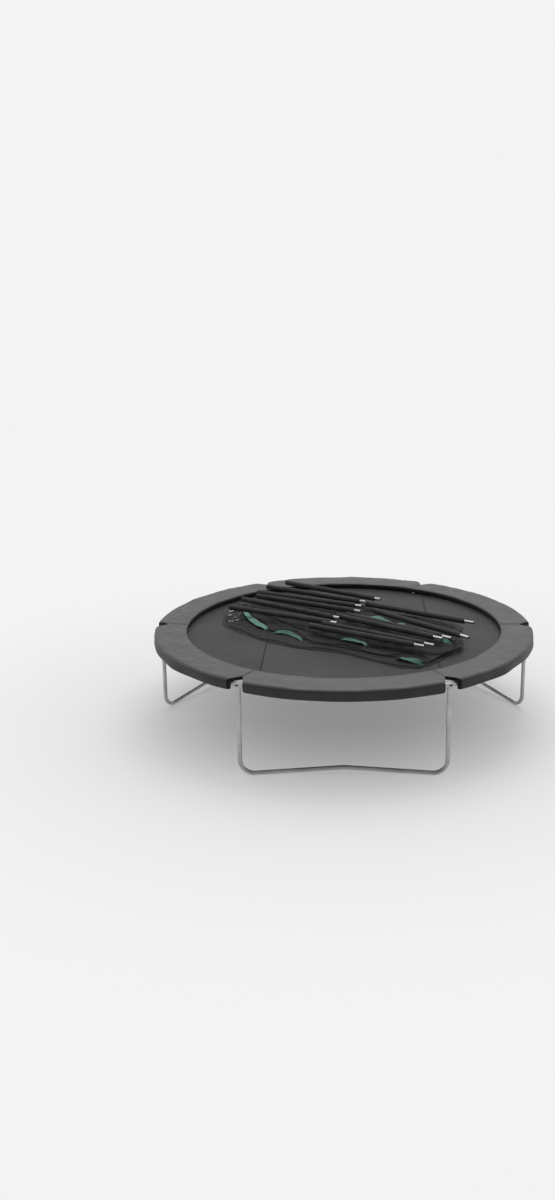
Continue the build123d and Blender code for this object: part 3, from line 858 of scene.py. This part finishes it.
def make_hem(columns=480):
    """The webbing under the mat's edge, which follows the scallops, with two rows of thread."""
    section = [(0.0, 0.0), (-HEM_WIDTH, 0.0), (-HEM_WIDTH, -HEM_THICKNESS), (0.0, -HEM_THICKNESS)]
    points = []
    angles = np.linspace(0, 2 * pi, columns, endpoint=False)
    for angle in angles:
        for inset, drop in section:
            radius = MAT_R + inset + scallop(angle)
            place = (radius * cos(angle), radius * sin(angle))
            points.append((*place, MAT_TOP + mat_height([place])[0] - 0.0022 + drop))
    faces = grid_faces(columns, len(section), closed=True, ring=True)
    hem = make_object("mat_hem_webbing", points, faces, HEM_TAPE)
    placed = mesh_points(hem)
    around = np.arctan2(placed[:, 1], placed[:, 0]) * MAT_R
    add_uv(hem, np.stack([np.linalg.norm(placed[:, :2], axis=1), around], axis=1))
    thread = Batch()
    for inset in (0.005, 0.029):
        path = []
        for angle in np.append(angles, angles[0]):
            radius = MAT_R - inset + scallop(angle)
            place = (radius * cos(angle), radius * sin(angle))
            path.append((*place, MAT_TOP + mat_height([place])[0] - 0.0002))
        stitch_row(thread, path, [(0, 0, 1)] * len(path), pitch=0.009)
    stitches = thread.make("mat_hem_thread", THREAD)
    for piece in (hem, stitches):
        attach(piece, "mat")
    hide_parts("mat_hem")
    return [hem, stitches]


LOOP_R = 1.040
LOOP_OUTER = 0.0040
LOOP_INNER = 0.0026
LOOP_WIDTH = 0.018
TAB_LENGTH = 0.030


def make_loops():
    """Forty-eight webbing loops that turn round the rings' bars, with their ends on and under the mat."""
    batch = Batch()
    uv = []
    rng = np.random.default_rng(11)
    middle = (LOOP_OUTER + LOOP_INNER) / 2
    half = (LOOP_OUTER - LOOP_INNER) / 2
    section = ((-0.5, half), (-0.48, -half), (0.48, -half), (0.5, half), (0.2, half), (-0.2, half))
    for angle in SPRING_ANGLES:
        skew = rng.normal(0, 0.0005)
        top = MAT_TOP - RING_Z
        bottom = MAT_BOTTOM - RING_Z
        path = [(-TAB_LENGTH, top + 0.0010), (-0.012, top + 0.0012), (-0.005, middle)]
        path += [(middle * sin(t), middle * cos(t)) for t in np.linspace(0, pi, 9)]
        path += [(-0.005, -middle), (-0.012, bottom - 0.0020), (-TAB_LENGTH, bottom - 0.0022)]
        path = np.array(path)
        ahead = unit(np.gradient(path, axis=0))
        normal = np.stack([-ahead[:, 1], ahead[:, 0]], axis=1)
        points = []
        for place, out, run in zip(path, normal, distance_along(path)):
            for side, lift in section:
                x, z = place + out * lift
                points.append((LOOP_R + x, side * LOOP_WIDTH + skew * x / TAB_LENGTH, RING_Z + z))
                uv.append((side * LOOP_WIDTH, run))
        faces = grid_faces(len(path), len(section), closed=True) + end_caps(len(path), len(section))
        batch.add(turned(points, angle), faces)
    loops = batch.make("ring_loop_webbing", HEM_TAPE)
    add_uv(loops, uv)
    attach(loops, "mat")
    return loops


COIL_START = 1.074
COIL_END = 1.158
COIL_MIDDLE_R = 0.0065
SPRING_WIRE_R = 0.0015
HOOK_R = 0.0047
HOOK_CENTRE_R = 1.055
HOOK_DROP = 0.006


def hook_arc(first, last, count):
    """Part of the round hook that holds the mat's ring."""
    turns = np.linspace(first, last, count)
    return [(HOOK_CENTRE_R + HOOK_R * cos(t), 0, RING_Z + HOOK_R * sin(t)) for t in turns]


def spring_path(turns=25, steps=9):
    """The wire of one spring along +X: a hook on the mat's ring, a closed coil and a hook into the tube."""
    path = hook_arc(-pi / 3, -pi, 6) + hook_arc(pi * 0.9, pi / 2, 4)
    path += [(HOOK_CENTRE_R + 0.010, 0, RING_Z + HOOK_R + 0.0006)]
    count = turns * steps
    for i in range(count + 1):
        turn = 2 * pi * i / steps + pi / 2
        x = COIL_START + SPRING_WIRE_R + (COIL_END - COIL_START - 2 * SPRING_WIRE_R) * i / count
        path.append((x, COIL_MIDDLE_R * cos(turn), RING_Z + COIL_MIDDLE_R * sin(turn)))
    path += [(COIL_END + 0.003, 0, RING_Z + 0.002), (COIL_END + 0.008, 0, RING_Z)]
    path += [(RING_R - HOOK_DROP - 0.002, 0, RING_Z), (RING_R - HOOK_DROP, 0, RING_Z - 0.002)]
    path += [(RING_R - HOOK_DROP, 0, RING_Z - HOOK_DROP)]
    return np.array(path)


def make_springs():
    """Forty-eight springs that stretch between the ring, which stays, and the mat, which moves."""
    points, faces = tube_along(spring_path(), SPRING_WIRE_R, sides=6)
    points = np.array(points)
    for number, angle in enumerate(SPRING_ANGLES, start=1):
        spring = make_object(f"spring_{number}", turned(points, angle), faces, SPRING_WIRE)
        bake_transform(spring)
        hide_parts("springs")


STRAP_OFFSETS = (-15, 0, 15)
STRAP_WIDTH = 0.020
STRAP_STEPS = 40


def make_straps():
    """Elastic straps that hold the pads' edges to the ring: each is a flat loop round the tube."""
    batch = Batch()
    uv = []
    rng = np.random.default_rng(23)
    section = ((-0.5, 0.0), (-0.46, 0.0010), (0.46, 0.0010), (0.5, 0.0))
    rise = PAD_TOP - PAD_THICKNESS - RING_Z - TUBE_R - 0.0012
    for seam in SEAMS:
        for offset in STRAP_OFFSETS:
            angle = seam + SECTOR / 2 + radians(offset)
            slack = rng.uniform(0.0002, 0.0012)
            path = []
            for t in np.linspace(0, 2 * pi, STRAP_STEPS, endpoint=False):
                reach = TUBE_R + 0.0008 + slack * (0.5 - 0.5 * sin(t))
                path.append((reach * cos(t), reach * sin(t) + max(sin(t), 0) ** 6 * rise))
            path = np.array(path)
            ahead = unit(np.roll(path, -1, axis=0) - np.roll(path, 1, axis=0))
            normal = np.stack([ahead[:, 1], -ahead[:, 0]], axis=1)
            points = []
            for i, (place, out) in enumerate(zip(path, normal)):
                for side, lift in section:
                    x, z = place + out * lift
                    points.append((RING_R + x, side * STRAP_WIDTH, RING_Z + z))
                    uv.append((side * STRAP_WIDTH, i * 0.0022))
            faces = grid_faces(STRAP_STEPS, len(section), closed=True, ring=True)
            batch.add(turned(points, angle), faces)
    straps = batch.make("pad_strap_elastic", ELASTIC)
    add_uv(straps, uv)
    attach(straps, "frame")
    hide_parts("pad_straps")


mat_cloth = make_mat()
mat_pieces = make_mat_seams() + make_hem() + [make_loops()]
make_springs()
make_straps()


# ---------------------------------------------------------------- poles and their foam sleeves


def node_points(name):
    """The vertices of a CAD node."""
    return mesh_points(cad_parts[name])


def pole_line(kind, number):
    """Where a pole's foam starts and ends, and the way it points, from its capped end to its bright tip."""
    pole = node_points(f"{kind}_pole_{number}")
    sleeve = node_points(f"{kind}_sleeve_{number}")
    from_sleeve = pole - sleeve.mean(axis=0)
    way = np.linalg.svd(pole - pole.mean(axis=0), full_matrices=False)[2][0]
    if from_sleeve.dot(way).max() < -from_sleeve.dot(way).min():
        way = -way
    box = [np.array(corner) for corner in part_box(f"{kind}_pole_{number}")]
    middle = (box[0] + box[1]) / 2
    along_pole = (pole - middle).dot(way)
    along_sleeve = (sleeve - middle).dot(way)
    return middle + way * along_pole.min(), middle + way * along_sleeve.max(), way


def lathe(section, start, way, side, up, sides):
    """Rings of points about an axis, one for each distance and radius of the section."""
    turns = full_turn(sides)
    return np.concatenate([circle(turns, start + way * x, side, up, radius) for x, radius in section])


def make_sleeve(kind, number, rows=90, sides=32):
    """A foam sleeve, slightly uneven and dented, with softened ends."""
    start, end, way = pole_line(kind, number)
    length = np.linalg.norm(end - start)
    side = np.cross((0, 0, 1), way)
    up = np.cross(way, side)
    quarter = [pi / 2 * k / 4 for k in range(5)]
    head = [(FOAM_EDGE_R * (1 - sin(turn)), FOAM_R - FOAM_EDGE_R * (1 - cos(turn))) for turn in quarter]
    head.sort()
    body = [(x, FOAM_R) for x in np.linspace(0.010, length - 0.010, rows)]
    tail = [(length - x, radius) for x, radius in reversed(head)]
    section = [(0.0, FOAM_BORE_R)] + head + body + tail + [(length, FOAM_BORE_R)]
    seed = number + (20 if kind == "upper" else 0)
    points = lathe(section, start, way, side, up, sides)
    outer = np.repeat([1.0 if radius > FOAM_R * 0.7 else 0.0 for _, radius in section], sides)
    along = (points - start) @ way
    local = np.stack([along, (points - start) @ side * 3, (points - start) @ up * 3], axis=1)
    dent = 0.0007 * ripple(local, 0.12, 100 + seed) + 0.00025 * ripple(local, 0.03, 140 + seed)
    away = unit(points - start - along[:, None] * way)
    points = points + away * (np.minimum(dent, 0.0008) * outer)[:, None]
    faces = [face[::-1] for face in grid_faces(len(section), sides, closed=True)]
    sleeve = make_object(f"{kind}_foam_{number}", points, faces, FOAM)
    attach(sleeve, f"{kind}_pole_body_{number}")
    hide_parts(f"{kind}_sleeve_{number}")
    make_plug(kind, number, start, way, side, up)


def make_plug(kind, number, start, way, side, up, sides=32):
    """The plug that closes the pole's other end: a low domed cap with a rounded edge."""
    reach = FOAM_R - 0.001
    section = [(-0.0003, 0.002), (-0.0003, reach), (-0.0018, reach), (-0.0030, reach - 0.0006)]
    section += [(-0.0038, reach - 0.0020), (-0.0042, reach * 0.6), (-0.0044, 0.0005)]
    points = lathe(section, start, way, side, up, sides)
    faces = grid_faces(len(section), sides, closed=True) + end_caps(len(section), sides)
    plug = make_object(f"{kind}_plug_{number}", points, faces, CAP)
    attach(plug, f"{kind}_pole_body_{number}")


for pole_kind in ("upper", "lower"):
    for pole_number in SIX:
        make_sleeve(pole_kind, pole_number)


# ---------------------------------------------------------------- CAD nodes that show as they are


def dress(names, material):
    """Give CAD nodes a material."""
    for name in names:
        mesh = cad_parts[name].data
        mesh.materials.clear()
        mesh.materials.append(material)


dress([f"ring_tube_{i}" for i in SIX], STEEL)
dress([f"leg_socket_{i}" for i in SIX], STEEL)
dress([f"w_leg_{side}" for side in ("front", "right", "left")], STEEL)
dress([f"{kind}_pole_{i}" for kind in ("upper", "lower") for i in SIX], STEEL)
dress([f"snap_button_{i}" for i in SIX], ZINC)
dress(["socket_screws", "net_hooks"], ZINC)
dress(["v_rings"], SPRING_WIRE)


# ---------------------------------------------------------------- folded net and its band

# The net lies folded in six passes, one above the other. Its long way runs to the right and forward.
NET_TURN = radians(-32)
NET_ALONG = np.array([cos(NET_TURN), sin(NET_TURN)])
NET_ACROSS = np.array([-sin(NET_TURN), cos(NET_TURN)])
NET_PASSES = 6
NET_FLAT = (6.4, 1.5)
PASS_SPACING = 0.0068
NET_LIFT = 0.0015
PLEAT_HEIGHT = 0.0165
HEM_R = 0.0009
BAND_THICKNESS = 0.0010
BAND_DIP = 0.009
PASS_LENGTH = 1.7
TURN_LENGTH = 0.03

# Where the front edge of each pass runs: distance along, distance across
FRONT_EDGES = [
    [(-0.95, -0.05), (-0.81, -0.27), (-0.70, -0.37), (-0.49, -0.43), (-0.30, -0.475), (-0.05, -0.475),
     (0.25, -0.42), (0.52, -0.445), (0.67, -0.47), (0.80, -0.40)],
    [(-0.90, -0.05), (-0.80, -0.23), (-0.68, -0.35), (-0.49, -0.40), (-0.35, -0.455), (-0.20, -0.44),
     (-0.05, -0.465), (0.12, -0.41), (0.25, -0.40), (0.45, -0.43), (0.67, -0.44), (0.78, -0.40)],
    [(-0.80, -0.02), (-0.745, -0.085), (-0.65, -0.17), (-0.56, -0.24), (-0.475, -0.29), (-0.38, -0.31),
     (-0.21, -0.305), (-0.09, -0.345), (0.10, -0.36), (0.40, -0.35), (0.60, -0.335), (0.674, -0.335), (0.754, -0.345)],
    [(-0.80, 0.0), (-0.60, -0.15), (-0.45, -0.23), (-0.39, -0.30), (-0.34, -0.33), (-0.29, -0.27), (-0.20, -0.25),
     (-0.10, -0.32), (-0.02, -0.37), (0.08, -0.36), (0.25, -0.32), (0.40, -0.35), (0.50, -0.36), (0.57, -0.31),
     (0.63, -0.26), (0.75, -0.27)],
    [(-0.80, 0.05), (-0.60, -0.08), (-0.30, -0.18), (-0.10, -0.24), (0.05, -0.26), (0.19, -0.275),
     (0.265, -0.276), (0.363, -0.30), (0.50, -0.24), (0.70, -0.22)],
    [(-0.80, 0.12), (-0.30, 0.15), (0.01, 0.14), (0.10, 0.142), (0.145, 0.165), (0.22, 0.139), (0.28, 0.121),
     (0.35, 0.118), (0.42, 0.111), (0.60, 0.10), (0.75, 0.06)],
]
BACK_EDGES = [0.555, 0.50, 0.48, 0.50, 0.47, 0.45]
LEFT_TURNS = [-0.955, -0.94, -0.94, -0.90, -0.90, -0.83]
RIGHT_TURNS = [0.83, 0.83, 0.79, 0.79, 0.74, 0.74]
CURVE_STEPS = np.linspace(-1.05, 0.95, 801)


def soft_curve(knots, softness=0.022):
    """Heights along a line through the knots, with their corners rounded off."""
    values = np.interp(CURVE_STEPS, [k[0] for k in knots], [k[1] for k in knots])
    step = CURVE_STEPS[1] - CURVE_STEPS[0]
    reach = int(3 * softness / step)
    kernel = np.exp(-0.5 * (np.arange(-reach, reach + 1) * step / softness) ** 2)
    padded = np.pad(values, reach, mode="edge")
    return np.convolve(padded, kernel / kernel.sum(), mode="valid")


FRONT_CURVES = [soft_curve(knots) for knots in FRONT_EDGES]
SHARED_FRONT = soft_curve([(-0.95, -0.02), (-0.80, -0.10), (0.70, -0.28), (0.83, -0.27)])


def free_part(along):
    """0 at the turns, where all passes share their edges, and 1 between them."""
    return smooth_step(along, -0.92, -0.76) * (1 - smooth_step(along, 0.76, 0.84))


def front_edge(number, along):
    """Where a pass's front edge lies across the heap, at each place along it."""
    own = np.interp(along, CURVE_STEPS, FRONT_CURVES[number])
    shared = np.interp(along, CURVE_STEPS, SHARED_FRONT)
    share = free_part(along)
    return shared * (1 - share) + own * share


def back_edge(number, along):
    """Where a pass's back edge lies across the heap, at each place along it."""
    own = BACK_EDGES[number] + 0.02 * np.sin(along * 7 + number * 2) - 0.10 * smooth_step(along, 0.35, 0.8)
    own = own - 0.10 * (1 - smooth_step(along, -0.9, -0.55))
    shared = 0.38 - 0.05 * smooth_step(along, 0.3, 0.8)
    share = free_part(along)
    return shared * (1 - share) + own * share


def turn_at(number, side, share):
    """Where a pass ends on its left (-1) or right (1), at a share of its width."""
    bend = np.abs(2 * share - 1)
    if side < 0:
        return LEFT_TURNS[number] + 0.13 * bend ** 3 + 0.008 * np.sin(share * 17 + number)
    return RIGHT_TURNS[number] - 0.17 * share ** 2 - 0.04 * bend ** 4 + 0.008 * np.sin(share * 19 + number)


def pass_share(number, along, across):
    """The share of a pass's width at a place, 0 at its front edge and 1 at its back one."""
    front = front_edge(number, along)
    return (across - front) / (back_edge(number, along) - front)


def pass_cover(number, along, across):
    """1 where a pass lies, 0 away from it, with a soft slope at its edges."""
    share = np.clip(pass_share(number, along, across), 0, 1)
    cover = smooth_step(across - front_edge(number, along), -0.03, 0.05)
    cover = cover * smooth_step(back_edge(number, along) - across, -0.03, 0.05)
    cover = cover * smooth_step(along - turn_at(number, -1, share), -0.03, 0.05)
    return cover * smooth_step(turn_at(number, 1, share) - along, -0.03, 0.05)


def pleats(along, across):
    """Folds that run along the net and wander, crossed by a few shallower ones."""
    place = np.stack([along, across], axis=1)
    wander = 0.045 * ripple(place, 0.55, 201) + 0.012 * ripple(place, 0.16, 202)
    tilt = across + 0.10 * along + wander
    first = 1 - np.abs(np.sin(pi * tilt / 0.105)) ** 0.8
    second = 1 - np.abs(np.sin(pi * (tilt * 1.7 + 0.3 * along + 0.03) / 0.105)) ** 1.1
    cross = 0.5 + 0.5 * np.tanh(1.3 * ripple(place * (1.0, 1.6), 0.11, 203))
    gate = 0.5 + 0.5 * np.tanh(1.6 * ripple(place, 0.30, 204))
    return np.clip(0.50 * first * (0.4 + 0.6 * gate) + 0.28 * second * (1 - 0.6 * gate) + 0.26 * cross, 0, 1)


def net_height(number, along, across):
    """How far a pass lies above the mat's level."""
    along = np.asarray(along, float)
    across = np.asarray(across, float)
    height = np.full(along.shape, NET_LIFT)
    for below in range(number):
        height = height + PASS_SPACING * pass_cover(below, along, across)
    depth = pass_share(0, along, across) * (back_edge(0, along) - front_edge(0, along))
    ends = smooth_step(along, -0.96, -0.80) * (1 - smooth_step(along, 0.70, 0.84))
    rim = smooth_step(depth, -0.01, 0.14) * smooth_step(back_edge(0, along) - across, -0.01, 0.14)
    envelope = 0.12 + 0.88 * rim * (0.25 + 0.75 * ends)
    return height + PLEAT_HEIGHT * envelope * pleats(along, across)


def net_point(along, across, height):
    """The place in the frame of a point on the net."""
    plan = np.outer(along, NET_ALONG) + np.outer(across, NET_ACROSS)
    return np.column_stack([plan, MAT_TOP + np.asarray(height)])


def make_net(columns=165, rows=120, turn_steps=6):
    """The whole net as one sheet in zigzag passes, joined by narrow turns."""
    shares = np.linspace(0, 1, rows)
    lines = []
    running = []
    length = 0.0
    for number in range(NET_PASSES):
        steps = np.linspace(0, 1, columns)
        if number % 2:
            steps = steps[::-1]
        block = []
        for step in steps:
            left = turn_at(number, -1, shares)
            right = turn_at(number, 1, shares)
            along = left + (right - left) * step
            front = front_edge(number, along)
            across = front + (back_edge(number, along) - front) * shares
            block.append(net_point(along, across, net_height(number, along, across)))
        if lines:
            before = lines[-1]
            after = block[0]
            middle = (before + after) / 2
            half = (after - before) / 2
            side = 1 if number % 2 else -1
            out = np.array([*NET_ALONG, 0]) * side
            radius = np.linalg.norm(half, axis=1)[:, None]
            for k in range(1, turn_steps):
                turn = pi * k / turn_steps
                lines.append(middle - half * cos(turn) + out * radius * sin(turn))
                running.append(length + 0.002 * k)
        length += TURN_LENGTH
        for i, line in enumerate(block):
            lines.append(line)
            running.append(length + i * PASS_LENGTH / columns)
        length += PASS_LENGTH
    points = np.concatenate(lines)
    net = make_object("net_cloth", points, grid_faces(len(lines), rows), NET)
    uv = np.stack([np.repeat(running, rows), np.tile(shares * NET_FLAT[1], len(lines))], axis=1)
    add_uv(net, uv)
    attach(net, "net")
    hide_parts("net_bundle")
    return net


def make_hems():
    """The rolled edges of the net: a thin cord of cloth along both sides of each pass."""
    batch = Batch()
    for number in range(NET_PASSES):
        for edge, share in ((front_edge, 0.0), (back_edge, 1.0)):
            ends = (turn_at(number, -1, share) + 0.01, turn_at(number, 1, share) - 0.01)
            along = np.linspace(*ends, 260)
            across = edge(number, along)
            path = net_point(along, across, net_height(number, along, across) + 0.0004)
            batch.add(*tube_along(path, HEM_R, sides=6))
    hems = batch.make("net_hem", NET_EDGE)
    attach(hems, "net")
    return hems


def heap_top(along, across, cover, window):
    """The height of the highest pass at each place, smoothed along the row of places."""
    tops = [net_height(n, along, across) * (pass_cover(n, along, across) > cover) for n in range(NET_PASSES)]
    padded = np.pad(np.max(tops, axis=0), window // 2, mode="edge")
    return np.convolve(padded, np.ones(window) / window, mode="valid")


def make_band(name, number, start, end, width, tips, forward=0.0, lift=0.005, material=BAND):
    """A stretch of the woven band on a pass's front edge, tipped by the angles listed along it."""
    share = np.linspace(0, 1, 110)
    along = start + (end - start) * share
    across = front_edge(number, along) - forward
    ends = np.minimum(share, 1 - share) * abs(end - start)
    height = heap_top(along, across, 0.25, 9) + lift - BAND_DIP * (1 - smooth_step(ends, 0.0, 0.03))
    middle = net_point(along, across, height)
    ahead = unit(np.gradient(middle, axis=0))
    flat_side = unit(np.cross((0, 0, 1), ahead))
    up = np.cross(ahead, flat_side)
    tip = np.radians(np.interp(share, np.linspace(0, 1, len(tips)), tips))
    run = distance_along(middle)
    points = []
    uv = []
    for i in range(len(along)):
        way = flat_side[i] * cos(tip[i]) + up[i] * sin(tip[i])
        out = np.cross(ahead[i], way)
        for part in np.linspace(-0.5, 0.5, 7):
            curl = 0.0020 * (2 * part) ** 2 + 0.0008 * sin(part * 7 + run[i] * 60)
            rise = abs(sin(tip[i])) * width * 0.4
            points.append(middle[i] + way * part * width + out * curl + up[i] * rise)
            uv.append((part * width, run[i]))
    band = make_object(name, points, grid_faces(len(along), 7), material)
    add_uv(band, uv)
    solid = band.modifiers.new("thickness", "SOLIDIFY")
    solid.thickness = BAND_THICKNESS
    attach(band, "net")
    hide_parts("net_band")


CORD_START = np.array([-0.746, 0.150])
CORD_END = np.array([-0.686, 0.362])


def make_cord():
    """A thin cord that lies straight across the net's left end."""
    shares = np.linspace(0, 1, 40)
    plan = CORD_START + np.outer(shares, CORD_END - CORD_START)
    plan[:, 0] += 0.004 * np.sin(pi * shares)
    along = plan @ NET_ALONG
    across = plan @ NET_ACROSS
    path = np.column_stack([plan, MAT_TOP + heap_top(along, across, 0.3, 13) + 0.006])
    points, faces = tube_along(path, 0.002)
    cord = make_object("net_cord", points, faces, CORD)
    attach(cord, "net")


net_cloth = make_net()
net_hems = make_hems()
make_band("band_left", 2, -0.775, -0.395, 0.034, (-10, -5, 5, 20, 35, 20, 0))
# The middle and right stretches use the darker copy of the band: painted shade.
make_band("band_middle", 2, -0.33, -0.08, 0.030, (5, 25, 35, 25, 5, 0), forward=0.015, material=BAND_PAINTED_SHADE)
make_band("band_front", 4, 0.15, 0.35, 0.024, (10, 25, 30, 15, 0, 0))
make_band("band_right", 2, 0.60, 0.775, 0.034, (-8, -4, 5, 25, 45, 60), forward=0.030, material=BAND_PAINTED_SHADE)
make_band("band_top", 5, -0.10, 0.40, 0.032, (0, 5, 5, 10, 30, 30, 5, 15, 10), lift=0.012)
make_band("band_end", 5, 0.66, 0.76, 0.028, (20, 40, 30), forward=0.035)
make_cord()
